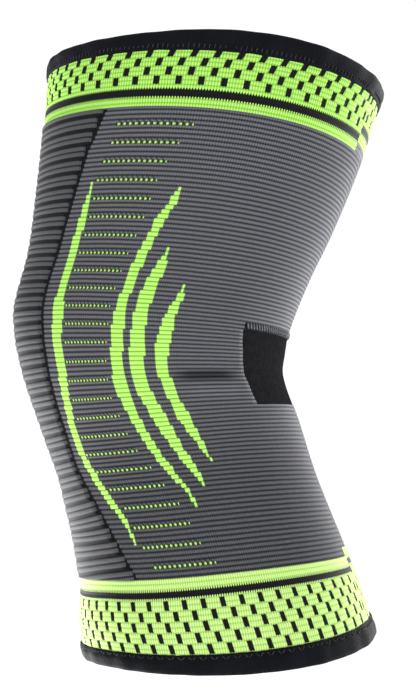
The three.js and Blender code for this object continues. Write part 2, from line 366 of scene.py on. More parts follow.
def knit_wall(name: str, plan: WallPlan) -> bpy.types.Object:
    """Make a knit wall: a flat grid, given its thickness, then laid round the leg.

    Args:
        name: Name of the piece.
        plan: The grid and how it is laid.

    Returns:
        The new object, with a UV map of turn and course, and its lining faces in slot 1.
    """
    bm = bmesh.new()
    bmesh.ops.create_grid(bm, x_segments=plan.columns, y_segments=plan.rows, size=0.5)
    if plan.cut:
        open_cells = []
        for face in bm.faces:
            centre = face.calc_center_median()
            if plan.cut(centre.x + 0.5, centre.y + 0.5):
                open_cells.append(face)
        bmesh.ops.delete(bm, geom=open_cells, context="FACES")
    bmesh.ops.solidify(bm, geom=bm.faces[:], thickness=FLAT_WALL)
    if plan.closed:
        end_faces = [
            face for face in bm.faces if all(abs(abs(v.co.x) - 0.5) < SAME_PLACE for v in face.verts)
        ]
        bmesh.ops.delete(bm, geom=end_faces, context="FACES_ONLY")
    mesh = bpy.data.meshes.new(name)
    bm.to_mesh(mesh)
    bm.free()

    flat = np.empty(len(mesh.vertices) * 3)
    mesh.vertices.foreach_get("co", flat)
    flat = flat.reshape(-1, 3)
    inside = flat[:, 2] < flat[:, 2].mean()
    laid = plan.lay(flat[:, 0] + 0.5, flat[:, 1] + 0.5, inside)
    mesh.vertices.foreach_set("co", laid.places.astype(np.float32).ravel())

    corner = np.empty(len(mesh.loops), dtype=np.int32)
    mesh.loops.foreach_get("vertex_index", corner)
    across = laid.turn[corner] / TURN_SPAN + 0.5
    along = (laid.course[corner] - FIRST_COURSE) / COURSE_SPAN
    layer = mesh.uv_layers.new(name="knit")
    layer.data.foreach_set("uv", np.stack([across, along], axis=-1).astype(np.float32).ravel())

    starts = np.empty(len(mesh.polygons), dtype=np.int32)
    mesh.polygons.foreach_get("loop_start", starts)
    lining = np.logical_and.reduceat(inside[corner], starts)
    mesh.polygons.foreach_set("material_index", lining.astype(np.int32))

    bm = bmesh.new()
    bm.from_mesh(mesh)
    if plan.closed:
        close_ring(bm, flat[:, 0] + 0.5)
    face_outward(bm)
    for face in bm.faces:
        face.smooth = True
    bm.to_mesh(mesh)
    bm.free()
    piece = bpy.data.objects.new(name, mesh)
    bpy.context.collection.objects.link(piece)
    return piece


def joined_piece(name: str, bm: bmesh.types.BMesh) -> bpy.types.Object:
    """Make a smooth-shaded object of a bmesh, and free it."""
    mesh = bpy.data.meshes.new(name)
    for face in bm.faces:
        face.smooth = True
    bm.to_mesh(mesh)
    bm.free()
    piece = bpy.data.objects.new(name, mesh)
    bpy.context.collection.objects.link(piece)
    return piece


def linear(red: int, green: int, blue: int) -> Colour:
    """A colour as it looks on screen, 0 to 255, made a light value."""
    shares = (value / 255 for value in (red, green, blue))
    return tuple(s / 12.92 if s <= 0.04045 else ((s + 0.055) / 1.055) ** 2.4 for s in shares)


@dataclass(frozen=True)
class Yarn:
    """The colours of one yarn: on its ribs, and in the furrows between them."""

    rib: Colour
    furrow: Colour


LIME_YARN = Yarn(rib=linear(182, 240, 112), furrow=linear(108, 164, 48))
PALE_LIME_YARN = Yarn(rib=linear(206, 243, 146), furrow=linear(136, 182, 78))
SLATE_YARN = Yarn(rib=linear(104, 105, 110), furrow=linear(45, 46, 51))
ASH_YARN = Yarn(rib=linear(84, 85, 88), furrow=linear(28, 29, 32))
COAL_YARN = Yarn(rib=linear(22, 22, 26), furrow=linear(9, 9, 12))
TAPE_YARN = Yarn(rib=linear(20, 21, 27), furrow=linear(10, 11, 15))
WINDOW_YARN = Yarn(rib=linear(42, 42, 44), furrow=linear(24, 24, 26))
LADDER_YARN = Yarn(rib=linear(122, 124, 130), furrow=linear(84, 86, 92))
THREAD_YARN = Yarn(rib=linear(62, 64, 72), furrow=linear(38, 39, 46))
DOT_YARN = Yarn(rib=linear(190, 226, 130), furrow=linear(150, 200, 90))
DOT_GROUND_YARN = Yarn(rib=linear(46, 64, 38), furrow=linear(28, 38, 26))
LINING_YARN = Yarn(rib=linear(74, 76, 78), furrow=linear(46, 47, 50))


@dataclass(frozen=True)
class ClothFinish:
    """How a cloth's surface takes the light."""

    roughness: float = 0.9
    sheen: float = 0.05
    sheen_roughness: float = 0.4
    specular: float = 0.15
    bump_strength: float = 0.6
    bump_depth: float = 0.0003


class Signal:
    """A number that a material works out at each point, with arithmetic on it."""

    def __init__(self, tree: bpy.types.NodeTree, socket: bpy.types.NodeSocket) -> None:
        """Keep the node tree and the socket that gives the number."""
        self.tree = tree
        self.socket = socket

    def math(self, operation: str, *others: "Signal | float") -> "Signal":
        """The result of a Math node.

        Args:
            operation: Name of the operation.
            others: The other inputs, signals or plain numbers.

        Returns:
            The new signal.
        """
        node = self.tree.nodes.new("ShaderNodeMath")
        node.operation = operation
        for index, value in enumerate((self, *others)):
            if isinstance(value, Signal):
                self.tree.links.new(value.socket, node.inputs[index])
            else:
                node.inputs[index].default_value = value
        return Signal(self.tree, node.outputs[0])

    def __add__(self, other: "Signal | float") -> "Signal":
        """Sum."""
        return self.math("ADD", other)

    def __sub__(self, other: "Signal | float") -> "Signal":
        """Difference."""
        return self.math("SUBTRACT", other)

    def __mul__(self, other: "Signal | float") -> "Signal":
        """Product, or both where the two are masks."""
        return self.math("MULTIPLY", other)

    def __truediv__(self, other: "Signal | float") -> "Signal":
        """Quotient."""
        return self.math("DIVIDE", other)

    def flipped(self) -> "Signal":
        """One less this signal: the places outside a mask."""
        return (self * -1.0) + 1.0

    def size(self) -> "Signal":
        """The number without its sign."""
        return self.math("ABSOLUTE")

    def floor(self) -> "Signal":
        """The whole number below."""
        return self.math("FLOOR")

    def fraction(self) -> "Signal":
        """What is left over the whole number below."""
        return self.math("FRACT")

    def larger(self, other: "Signal | float") -> "Signal":
        """The larger of two numbers, or either of two masks."""
        return self.math("MAXIMUM", other)

    def over(self, other: "Signal | float") -> "Signal":
        """Mask of where this is the larger."""
        return self.math("GREATER_THAN", other)

    def under(self, other: "Signal | float") -> "Signal":
        """Mask of where this is the smaller."""
        return self.math("LESS_THAN", other)

    def ramp(self, low: float, high: float) -> "Signal":
        """Smooth rise from 0 at low to 1 at high.

        Args:
            low: Where the rise starts.
            high: Where it ends; below low, it is a fall.

        Returns:
            The rise, from 0 to 1.
        """
        node = self.tree.nodes.new("ShaderNodeMapRange")
        node.interpolation_type = "SMOOTHSTEP"
        self.tree.links.new(self.socket, node.inputs["Value"])
        if low < high:
            node.inputs["From Min"].default_value = low
            node.inputs["From Max"].default_value = high
            return Signal(self.tree, node.outputs["Result"])
        node.inputs["From Min"].default_value = high
        node.inputs["From Max"].default_value = low
        return Signal(self.tree, node.outputs["Result"]).flipped()

    def course_table(self, rows: Sequence[tuple[float, ...]], column: int) -> "Signal":
        """Turn in degrees that a table gives for this course, on straight lines between its rows.

        Args:
            rows: Rows that start with a course.
            column: Which column is read.

        Returns:
            The turn, in degrees.
        """
        node = self.tree.nodes.new("ShaderNodeFloatCurve")
        curve = node.mapping.curves[0]
        places = [((row[0] - FIRST_COURSE) / COURSE_SPAN, row[column] / 180.0) for row in rows]
        places = [(0.0, places[0][1]), *places, (1.0, places[-1][1])]
        for index, place in enumerate(places):
            point = curve.points[index] if index < 2 else curve.points.new(*place)
            point.location = place
            point.handle_type = "VECTOR"
        node.mapping.update()
        share = (self - FIRST_COURSE) / COURSE_SPAN
        self.tree.links.new(share.socket, node.inputs["Value"])
        return Signal(self.tree, node.outputs["Value"]) * 180.0


class Cloth:
    """A cloth material under construction, with its place on the knit to draw by."""

    def __init__(self, name: str, finish: ClothFinish) -> None:
        """Start the material and read the knit's UV map.

        Args:
            name: Name of the material.
            finish: How the surface takes the light.
        """
        self.material = bpy.data.materials.new(name)
        self.material.use_nodes = True
        self.tree = self.material.node_tree
        self.shader = self.tree.nodes["Principled BSDF"]
        self.finish = finish
        uv_map = self.tree.nodes.new("ShaderNodeUVMap")
        uv_map.uv_map = "knit"
        parts = self.tree.nodes.new("ShaderNodeSeparateXYZ")
        self.tree.links.new(uv_map.outputs[0], parts.inputs[0])
        self.turn = (Signal(self.tree, parts.outputs["X"]) - 0.5) * TURN_SPAN
        self.course = Signal(self.tree, parts.outputs["Y"]) * COURSE_SPAN + FIRST_COURSE
        self.side = ((self.turn.size() - 180.0).size() * -1.0) + 180.0
        self.colour: bpy.types.NodeSocket | None = None

    def noise(self, scale: float, detail: float = 2.0, stretch: Colour = (1, 1, 1)) -> Signal:
        """Cloudy noise over the piece.

        Args:
            scale: How fine it is, per metre.
            detail: How many finer octaves it has.
            stretch: How many times finer it is along each axis.

        Returns:
            The noise, about 0.5 in the mean.
        """
        place = self.tree.nodes.new("ShaderNodeTexCoord")
        mapping = self.tree.nodes.new("ShaderNodeMapping")
        mapping.inputs["Scale"].default_value = stretch
        self.tree.links.new(place.outputs["Object"], mapping.inputs["Vector"])
        node = self.tree.nodes.new("ShaderNodeTexNoise")
        node.inputs["Scale"].default_value = scale
        node.inputs["Detail"].default_value = detail
        self.tree.links.new(mapping.outputs[0], node.inputs["Vector"])
        return Signal(self.tree, node.outputs[0])

    def wale(self, low: float, high: float) -> Signal:
        """Rise from the gap between two wales to their middles, from 0 at low to 1 at high."""
        return whole_distance(self.turn * (WALES / 360.0)).ramp(low, high)

    def ground(self, yarn: Yarn, rib: Signal) -> None:
        """Cover the whole cloth with a yarn; rib is 1 on its ribs and 0 in its furrows."""
        self.colour = self.blend(rib, yarn.furrow, yarn.rib)

    def draw(self, mask: Signal, yarn: Yarn, rib: Signal) -> None:
        """Knit a yarn in where the mask is 1."""
        self.colour = self.blend(mask, self.colour, self.blend(rib, yarn.furrow, yarn.rib))

    def shade(self, amount: Signal) -> None:
        """Make the cloth lighter or darker by a factor."""
        node = self.tree.nodes.new("ShaderNodeVectorMath")
        node.operation = "SCALE"
        self.tree.links.new(self.colour, node.inputs[0])
        self.tree.links.new(amount.socket, node.inputs["Scale"])
        self.colour = node.outputs[0]

    def blend(self, share: Signal, low: object, high: object) -> bpy.types.NodeSocket:
        """Mix two colours.

        Args:
            share: How much of the second there is.
            low: The first colour, a value or a socket.
            high: The second colour, a value or a socket.

        Returns:
            The socket with the mixed colour.
        """
        node = self.tree.nodes.new("ShaderNodeMix")
        node.data_type = "RGBA"
        self.tree.links.new(share.socket, node.inputs[0])
        for socket, colour in ((node.inputs[6], low), (node.inputs[7], high)):
            if isinstance(colour, bpy.types.NodeSocket):
                self.tree.links.new(colour, socket)
            else:
                socket.default_value = (*colour, 1.0)
        return node.outputs[2]

    def finished(self, height: Signal) -> bpy.types.Material:
        """Set the surface and its bump.

        Args:
            height: Height of the fine relief, 0 to 1.

        Returns:
            The material.
        """
        bump_node = self.tree.nodes.new("ShaderNodeBump")
        bump_node.inputs["Strength"].default_value = self.finish.bump_strength
        bump_node.inputs["Distance"].default_value = self.finish.bump_depth
        self.tree.links.new(height.socket, bump_node.inputs["Height"])
        self.tree.links.new(bump_node.outputs[0], self.shader.inputs["Normal"])
        self.tree.links.new(self.colour, self.shader.inputs["Base Color"])
        self.shader.inputs["Roughness"].default_value = self.finish.roughness
        self.shader.inputs["Specular IOR Level"].default_value = self.finish.specular
        self.shader.inputs["Sheen Weight"].default_value = self.finish.sheen
        self.shader.inputs["Sheen Roughness"].default_value = self.finish.sheen_roughness
        return self.material


def whole_distance(value: Signal) -> Signal:
    """How far a number is from the nearest whole number."""
    return ((value + 0.5).fraction() - 0.5).size()


def lining_cloth() -> bpy.types.Material:
    """The plain inner face that all knit walls share."""
    cloth = Cloth("lining_knit", ClothFinish(roughness=0.92, sheen=0.15))
    rib = whole_distance(cloth.course).ramp(0.05, 0.35)
    wale = cloth.wale(0.1, 0.4)
    cloth.ground(LINING_YARN, rib * 0.7 + wale * 0.3)
    return cloth.finished(rib * 0.6 + wale * 0.4)


@dataclass(kw_only=True)
class KnitPiece:
    """A piece of cloth in its worn shape, which stands for one CAD node."""

    form: LegForm
    name: str
    node: str
    slot: str
    flat: tuple[float, float]
    held: str = "stretched"

    def dress(self) -> bpy.types.Material:
        """Make the material of the outer face."""
        raise NotImplementedError

    def seat(self, piece: bpy.types.Object, materials: Sequence[bpy.types.Material]) -> bpy.types.Object:
        """Dress a finished mesh, hang it on the root body and hide the frame's part that it stands for.

        Args:
            piece: The object.
            materials: Its materials, the outer face's first.

        Returns:
            The same object.
        """
        for material in materials:
            piece.data.materials.append(material)
        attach(piece, "root")
        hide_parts(self.node)
        return piece


class KnitWall(KnitPiece):
    """A piece that is a knit wall, laid round the leg from a flat grid."""

    def plan(self) -> WallPlan:
        """The flat grid of the piece, and how it is laid."""
        raise NotImplementedError

    def build(self, lining: bpy.types.Material) -> bpy.types.Object:
        """Build the piece.

        Args:
            lining: Material of its inner face.

        Returns:
            The piece.
        """
        piece = knit_wall(self.name, self.plan())
        return self.seat(piece, (self.dress(), lining))


@dataclass(kw_only=True)
class LegTube(KnitWall):
    """The ribbed knit of both sides and the back, open at the front panel and the knee window."""

    name: str = "leg_knit_tube"
    node: str = "leg_tube"
    slot: str = "leg_knit"
    flat: tuple[float, float] = (0.33, 0.19)
    side_columns: int = 36
    window_columns: int = 24
    rows_per_course: int = 4
    wall: float = 0.0020
    furrow_depth: float = 0.00030
    furrow_half: float = 0.17
    tuck_turn: float = 2.6
    tuck_depth: float = 0.0009
    window_top: float = 45.3
    window_bottom: float = 65.2
    window_edge_top: float = 102.8
    window_edge_bottom: float = 106.8
    # The black line beside the panel and the lime nub over it: degrees and courses
    line_width: float = 1.8
    nub_turn: float = 25.2
    nub_half: float = 1.6
    nub_course: float = -0.9
    # The lime shapes' edges move a whole wale at a time, and their tips run on a little
    step_turn: float = 360.0 / WALES
    edge_blur: float = 0.15
    tip_courses: tuple[float, float] = (0.3, 0.5)
    dots_across: float = 12.5
    dot_pitch: float = 4.0
    dot_courses: tuple[float, float] = (0.5, 99.5)
    # The crease beside the window, darkened with painted shade, and the crest under it, lit with a painted
    # highlight
    crease_course: float = 57.6
    crest_below: float = 4.2
    crease_painted_shade: float = -0.62
    crest_painted_highlight: float = 0.16
    # The band that carries the ladder of threads
    band_courses: tuple[float, float] = (43.2, 45.4)
    band_turn: float = 103.2
    # Painted shade on the lower calf, and the turns where the crease's painted shade starts, is full, is full
    # and ends
    calf_painted_shade: float = -0.32
    calf_shade_courses: tuple[float, float] = (58.0, 86.0)
    crease_turns: tuple[float, float, float, float] = (68.0, 80.0, 94.0, 104.0)

    @property
    def columns(self) -> int:
        """Cells of the flat grid all the way round."""
        return 2 * self.side_columns + self.window_columns

    def window_edge(self, course: Points) -> Points:
        """Turn in degrees of the window's side edge at each course."""
        share = np.clip((course - self.window_top) / (self.window_bottom - self.window_top), 0.0, 1.0)
        return mix(self.window_edge_top, self.window_edge_bottom, share)

    def lay(self, across: Points, up: Points, inside: Points) -> Laid:
        """Lay the flat grid round the sides and the back.

        Args:
            across: Share of the way round, from one panel border to the other.
            up: Share of the way up.
            inside: Whether each point is on the lining.

        Returns:
            The laid points.
        """
        course = mix(BOTTOM_SEAM, TOP_SEAM, up)
        column = across * self.columns
        border = SmoothCurve(*zip(*PANEL_BORDER))(course) - self.tuck_turn
        edge = self.window_edge(course)
        half = self.columns / 2
        from_back = np.abs(column - half)
        half_window = self.window_columns / 2
        in_window = 180.0 - edge
        beyond = (from_back - half_window) / self.side_columns
        back_turn = np.where(
            from_back <= half_window,
            in_window * from_back / half_window,
            mix(in_window, 180.0 - border, np.clip(beyond, 0.0, 1.0)),
        )
        turn = 180.0 + np.sign(column - half) * back_turn
        side = 180.0 - np.abs(turn - 180.0)
        tucked = 1.0 - smoothstep(0.0, self.tuck_turn, side - border)
        groove = np.exp(-((np.abs(course - np.round(course)) / self.furrow_half) ** 2))
        out = -self.tuck_depth * tucked - self.furrow_depth * groove
        out = np.where(inside, -self.wall, out)
        return Laid(self.form.place(self.form.height_of(course), turn, out), turn, course)

    def cut(self, across: float, up: float) -> bool:
        """Whether a cell of the flat grid lies in the window."""
        course = mix(BOTTOM_SEAM, TOP_SEAM, up)
        in_columns = abs(across - 0.5) * self.columns < self.window_columns / 2
        return in_columns and self.window_top < course < self.window_bottom

    def lime_shape(self, cloth: Cloth, rows: Sequence[tuple[float, ...]]) -> Signal:
        """Mask of one lime shape, its edges stepped from wale to wale.

        Args:
            cloth: The material it is drawn on.
            rows: Courses with the turns of both edges.

        Returns:
            The mask.
        """
        course = cloth.course
        stepped = course.floor() + 0.5
        near = (stepped.course_table(rows, 1) / self.step_turn + 0.5).floor() * self.step_turn
        far = (stepped.course_table(rows, 2) / self.step_turn + 0.5).floor() * self.step_turn
        within = (cloth.side - near).ramp(-self.edge_blur, self.edge_blur)
        within = within * (far - cloth.side).ramp(-self.edge_blur, self.edge_blur)
        top_run, bottom_run = self.tip_courses
        return within * course.over(rows[0][0] - top_run) * course.under(rows[-1][0] + bottom_run)

    def dress(self) -> bpy.types.Material:
        """Make the slate knit with its lime shapes, dot rows and the black line along the panel."""
        cloth = Cloth("leg_knit", ClothFinish())
        uneven = (cloth.noise(90.0) - 0.5) * 0.12
        wale = cloth.wale(0.05, 0.35)
        rib = (whole_distance(cloth.course + uneven) + wale * 0.13).ramp(0.17, 0.44)
        cloth.ground(SLATE_YARN, rib * (wale * 0.2 + 0.8))
        self.shade_folds(cloth, rib)
        self.draw_dots(cloth, rib, wale)
        self.draw_lime(cloth, rib)
        return cloth.finished(rib * 0.6 + wale * 0.4)

    def shade_folds(self, cloth: Cloth, rib: Signal) -> None:
        """Add the fine speckle, paint shade on the lower calf and in the crease, paint a highlight on the
        crest, and draw the band over the window.

        Args:
            cloth: The material it is drawn on.
            rib: The leg's ribs, 1 on top.
        """
        course, side = cloth.course, cloth.side
        speckle = cloth.noise(2600.0, 1.0, (1.0, 1.0, 0.5)).ramp(0.3, 0.7)
        # Painted shade: the lower calf is darkened, on top of the random speckle
        cloth.shade(speckle * 0.22 + course.ramp(*self.calf_shade_courses) * self.calf_painted_shade + 0.88)
        start, full, last_full, end = self.crease_turns
        reach = side.ramp(start, full) * side.ramp(end, last_full)
        # Painted shade in the crease beside the window, and a painted highlight on the crest under it
        crease_shade = (course - self.crease_course).size().ramp(1.7, 0.5) * reach
        crest_highlight = (course - (self.crease_course + self.crest_below)).size().ramp(2.2, 0.5) * reach
        cloth.shade(crest_highlight * self.crest_painted_highlight + crease_shade * self.crease_painted_shade + 1.0)
        first, last = self.band_courses
        band = course.over(first) * course.under(last) * side.over(self.band_turn)
        cloth.draw(band, COAL_YARN, rib * 0.5)

    def draw_dots(self, cloth: Cloth, rib: Signal, wale: Signal) -> None:
        """Draw the rows of lime dots, each on a dark ground with ticks above it.

        Args:
            cloth: The material they are drawn on.
            rib: The leg's ribs, 1 on top.
            wale: The leg's wales, 1 in their middles.
        """
        course = cloth.course
        row = (course / self.dot_pitch).floor() * self.dot_pitch + self.dot_pitch / 2
        start = row.course_table(DOT_ROWS, 1)
        end = row.course_table(DOT_ROWS, 2)
        along = (cloth.side - start) / (end - start)
        first, last = self.dot_courses
        in_row = along.over(0.0) * along.under(1.0) * course.over(first) * course.under(last)
        from_row = course - row
        count = along * self.dots_across
        tick = whole_distance(count - from_row * 0.55).ramp(0.30, 0.16)
        above = from_row.ramp(-1.05, -0.9) * from_row.ramp(-0.28, -0.4)
        cloth.draw(in_row * tick * above * 0.55, COAL_YARN, rib)
        cloth.draw(from_row.size().ramp(0.42, 0.30) * in_row, DOT_GROUND_YARN, wale)
        lobe = ((count.fraction() - 0.5) / 0.26).math("POWER", 2.0)
        height = (from_row / 0.30).math("POWER", 2.0)
        cloth.draw((lobe + height).ramp(1.2, 0.6) * in_row, DOT_YARN, wale)

    def draw_lime(self, cloth: Cloth, rib: Signal) -> None:
        """Draw the lime shapes, the black line along the panel, and the lime over both.

        Args:
            cloth: The material they are drawn on.
            rib: The leg's ribs, 1 on top.
        """
        course, side = cloth.course, cloth.side
        lime = self.lime_shape(cloth, FRONT_LINE)
        for rows in (FIRST_SWOOSH, SECOND_SWOOSH, THIRD_SWOOSH):
            lime = lime.larger(self.lime_shape(cloth, rows))
        lime_rib = whole_distance(course).ramp(0.0, 0.24)
        cloth.draw(lime, LIME_YARN, lime_rib)
        border = (course.floor() + 0.5).course_table(PANEL_BORDER, 1)
        line = (side - border).ramp(self.line_width + 0.2, self.line_width - 0.2)
        cloth.draw(line, COAL_YARN, rib * 0.5)
        nub = (side - self.nub_turn).size().under(self.nub_half) * course.under(self.nub_course)
        cloth.draw(nub, LIME_YARN, lime_rib)
        past = (cloth.turn - BOTTOM_JOG) / JOG_FADE
        jog = cloth.turn.over(BOTTOM_JOG) * (course + (past * -1.0 + 1.0) * JOG_COURSES).over(BOTTOM_SEAM)
        cloth.draw(jog, LIME_YARN, lime_rib)

    def plan(self) -> WallPlan:
        """The flat grid of the leg part, open at the window."""
        rows = round((BOTTOM_SEAM - TOP_SEAM) * self.rows_per_course)
        return WallPlan(self.columns, rows, False, self.lay, self.cut)


@dataclass(kw_only=True)
class FrontPanel(KnitWall):
    """The thick panel over the kneecap and shin, with one raised rib group after another."""

    name: str = "front_rib_panel"
    node: str = "front_panel"
    slot: str = "panel_knit"
    flat: tuple[float, float] = (0.045, 0.20)
    columns: int = 36
    rows_per_group: int = 12
    group: float = 3.0
    first_valley: float = 0.7
    wall: float = 0.0026
    valley_rise: float = 0.0007
    rise: float = 0.0011
    split_depth: float = 0.0004
    end_round: float = 0.0022
    # Where the relief leaves a valley and is full, and half the split line's width, in groups
    swell_start: float = 0.07
    swell_full: float = 0.24
    split_width: float = 0.055
    # Over how much of a group the border steps, and how far up the table it reads, in courses
    step_blur: float = 0.12
    step_lead: float = 0.8
    # Half of a valley and of a split line, from where it is plain to where it is full, in groups
    valley_half: tuple[float, float] = (0.20, 0.14)
    split_half: tuple[float, float] = (0.025, 0.10)
    # Course, how far down the leg the panel's pattern lies in its middle, and how much further
    # down it lies a lean_turn round toward the side, both in courses
    drift: tuple[tuple[float, float, float], ...] = (
        (0.0, -0.85, 0.0), (12.0, -0.75, 0.05), (28.0, -0.9, 0.4), (40.0, -0.45, 0.25), (48.0, 0.15, -0.2),
        (60.0, 0.0, -0.5), (73.0, -0.15, -0.95), (87.0, 0.35, -1.15), (93.0, -0.4, -0.75),
        (102.0, -0.55, -0.65),
    )
    lean_turn: float = 15.0

    def drifted(self, course: Points, turn: Points) -> Points:
        """How far down the leg each course of the pattern lies, in courses."""
        courses = [row[0] for row in self.drift]
        middle = SmoothCurve(courses, [row[1] for row in self.drift])
        lean = SmoothCurve(courses, [row[2] for row in self.drift])
        return middle(course) + lean(course) * np.clip(turn / self.lean_turn, -1.4, 1.8)

    def border(self, pattern: Points) -> Points:
        """Turn of the panel's border, stepped from one rib group to the next.

        Args:
            pattern: Courses of the panel's pattern.

        Returns:
            Degrees from the front.
        """
        phase = (pattern - self.first_valley) / self.group
        lower = np.round(phase) - 0.5
        curve = SmoothCurve(*zip(*PANEL_BORDER))
        read_at = lower * self.group + self.first_valley - self.step_lead
        before = curve(read_at.clip(TOP_SEAM, BOTTOM_SEAM))
        after = curve((read_at + self.group).clip(TOP_SEAM, BOTTOM_SEAM))
        return mix(before, after, smoothstep(-self.step_blur, self.step_blur, phase - np.round(phase)))

    def lay(self, across: Points, up: Points, inside: Points) -> Laid:
        """Lay the flat grid over the front.

        Args:
            across: Share of the way from one border to the other.
            up: Share of the way up.
            inside: Whether each point is on the lining.

        Returns:
            The laid points.
        """
        reach = np.sin((across - 0.5) * np.pi)
        roughly = mix(BOTTOM_SEAM, TOP_SEAM, up)
        turn = reach * self.border(roughly + self.step_lead)
        top = TOP_SEAM - self.drifted(np.full_like(turn, 0.0), turn)
        bottom = BOTTOM_SEAM - self.drifted(np.full_like(turn, 102.0), turn)
        pattern = mix(bottom, top, up)
        border = self.border(pattern)
        turn = reach * border
        course = np.clip(pattern + self.drifted(pattern, turn), TOP_SEAM, BOTTOM_SEAM)
        phase = (pattern - self.first_valley) / self.group
        from_valley = np.abs(phase - np.round(phase))
        swell = smoothstep(self.swell_start, self.swell_full, from_valley)
        split = np.exp(-(((from_valley - 0.5) / self.split_width) ** 2))
        millimetres = (border - np.abs(turn)) * math.radians(1.0) * self.form.knee_depth / 2
        ends = np.sqrt(1.0 - (1.0 - np.clip(millimetres / self.end_round, 0.0, 1.0)) ** 2)
        out = ends * mix(self.valley_rise, self.rise - self.split_depth * split, swell)
        out = np.where(inside, -self.wall, out)
        return Laid(self.form.place(self.form.height_of(course), turn, out), turn, pattern)

    def dress(self) -> bpy.types.Material:
        """Make the ash rib knit with its black valleys.

        Returns:
            The material.
        """
        cloth = Cloth("front_panel_knit", ClothFinish(sheen=0.08))
        uneven = (cloth.noise(60.0) - 0.5) * 0.10
        phase = (cloth.course - self.first_valley + uneven) / self.group
        from_valley = whole_distance(phase)
        wale = cloth.wale(0.05, 0.35)
        split = (from_valley - 0.5).size().ramp(*self.split_half)
        speckle = cloth.noise(2200.0, 1.0, (1.0, 1.0, 0.5)).ramp(0.3, 0.7)
        cloth.ground(ASH_YARN, split * (wale * 0.26 + speckle * 0.16 + 0.58))
        valley = (from_valley + wale * 0.012).ramp(*self.valley_half)
        cloth.draw(valley, COAL_YARN, wale)
        return cloth.finished(split * 0.5 + wale * 0.5)

    def plan(self) -> WallPlan:
        """The flat grid of the panel, with as many rows to each rib group."""
        groups = (BOTTOM_SEAM - TOP_SEAM) / self.group
        return WallPlan(self.columns, round(groups * self.rows_per_group), False, self.lay)


@dataclass(kw_only=True)
class KneeWindow(KnitWall):
    """The panel of fine knit in the hollow of the knee, and the ladder of threads over it."""

    name: str = "knee_window_knit"
    node: str = "popliteal_panel"
    slot: str = "window_knit"
    flat: tuple[float, float] = (0.158, 0.036)
    columns: int = 40
    rows: int = 40
    wall: float = 0.0015
    sunk: float = 0.0004
    top: float = 45.0
    bottom: float = 66.0
    edge: float = 102.0
    stitch_spacing: float = 0.0019
    stitch_half: float = 0.0014
    stitch_slant: float = 0.6
    stitch_radius: float = 0.00040
    stitch_course: float = 44.1
    stitch_inset: float = 3.0

    def lay(self, across: Points, up: Points, inside: Points) -> Laid:
        """Lay the flat grid over the hollow of the knee.

        Args:
            across: Share of the way from one side edge to the other.
            up: Share of the way up.
            inside: Whether each point is on the lining.

        Returns:
            The laid points.
        """
        course = mix(self.bottom, self.top, up)
        turn = mix(self.edge, 360.0 - self.edge, across)
        out = np.where(inside, -self.sunk - self.wall, -self.sunk)
        return Laid(self.form.place(self.form.height_of(course), turn, out), turn, course)

    def dress(self) -> bpy.types.Material:
        """Make the near-black fine knit with its faint diagonal mottling."""
        finish = ClothFinish(roughness=1.0, sheen=0.0, specular=0.0, bump_depth=0.0002)
        cloth = Cloth(self.name, finish)
        wale = cloth.wale(0.1, 0.4)
        fine = whole_distance(cloth.course * 2.0).ramp(0.1, 0.4)
        slant = whole_distance(cloth.course * 0.9 + cloth.turn * 0.55).ramp(0.15, 0.4)
        mottle = cloth.noise(420.0, 3.0).ramp(0.35, 0.65)
        cloth.ground(WINDOW_YARN, fine * wale * 0.5 + slant * mottle * 0.6)
        return cloth.finished(fine * 0.6 + wale * 0.4)

    def plan(self) -> WallPlan:
        """The flat grid of the window."""
        return WallPlan(self.columns, self.rows, False, self.lay)

    def build_ladder(self) -> bpy.types.Object:
        """Build the row of slanting threads above the window.

        Returns:
            The piece.
        """
        height = float(self.form.height_of(self.stitch_course))
        first = self.edge + self.stitch_inset
        turns = np.arange(first, 360.0 - first, 0.5)
        line = self.form.place(np.full_like(turns, height), turns, 0.0)
        travel = np.concatenate([[0.0], np.cumsum(np.linalg.norm(np.diff(line, axis=0), axis=1))])
        count = int(travel[-1] / self.stitch_spacing)
        at = np.interp(np.arange(count) * self.stitch_spacing, travel, turns)
        low = np.full(count, height - self.stitch_half)
        high = np.full(count, height + self.stitch_half)
        sunk = self.stitch_radius * 0.4
        starts = self.form.place(low, at + self.stitch_slant, sunk)
        ends = self.form.place(high, at - self.stitch_slant, sunk)
        return thread_piece("window_ladder", starts, ends, self.stitch_radius, LADDER_YARN, "leg_knit")


def thread_piece(
    name: str, starts: Points, ends: Points, radius: float, yarn: Yarn, slot: str,
) -> bpy.types.Object:
    """Make one piece of short threads.

    Args:
        name: Name of the piece.
        starts: Where each thread starts.
        ends: Where each ends.
        radius: Half its thickness, in metres.
        yarn: Its colours.
        slot: The record's material slot; not used.

    Returns:
        The piece.
    """
    bm = bmesh.new()
    for start, end in zip(starts, ends):
        way = Vector(end - start)
        turn = way.to_track_quat("Z", "Y").to_matrix().to_4x4()
        scale = Matrix.Diagonal((radius, radius, way.length / 2, 1.0))
        middle = Matrix.Translation(Vector((start + end) / 2))
        bmesh.ops.create_uvsphere(bm, u_segments=6, v_segments=5, radius=1.0, matrix=middle @ turn @ scale)
    piece = joined_piece(name, bm)
    piece.data.uv_layers.new(name="knit")
    piece.data.materials.append(thread_cloth(name, yarn))
    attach(piece, "root")
    return piece


def thread_cloth(name: str, yarn: Yarn) -> bpy.types.Material:
    """A twisted thread."""
    cloth = Cloth(name + "_thread", ClothFinish(roughness=0.8, sheen=0.05))
    twist = cloth.noise(1800.0, 1.0).ramp(0.35, 0.65)
    cloth.ground(yarn, twist)
    return cloth.finished(twist)


class CuffEnd(Enum):
    """Which end of the sleeve a cuff or a tape is at."""

    THIGH = "thigh"
    CALF = "calf"


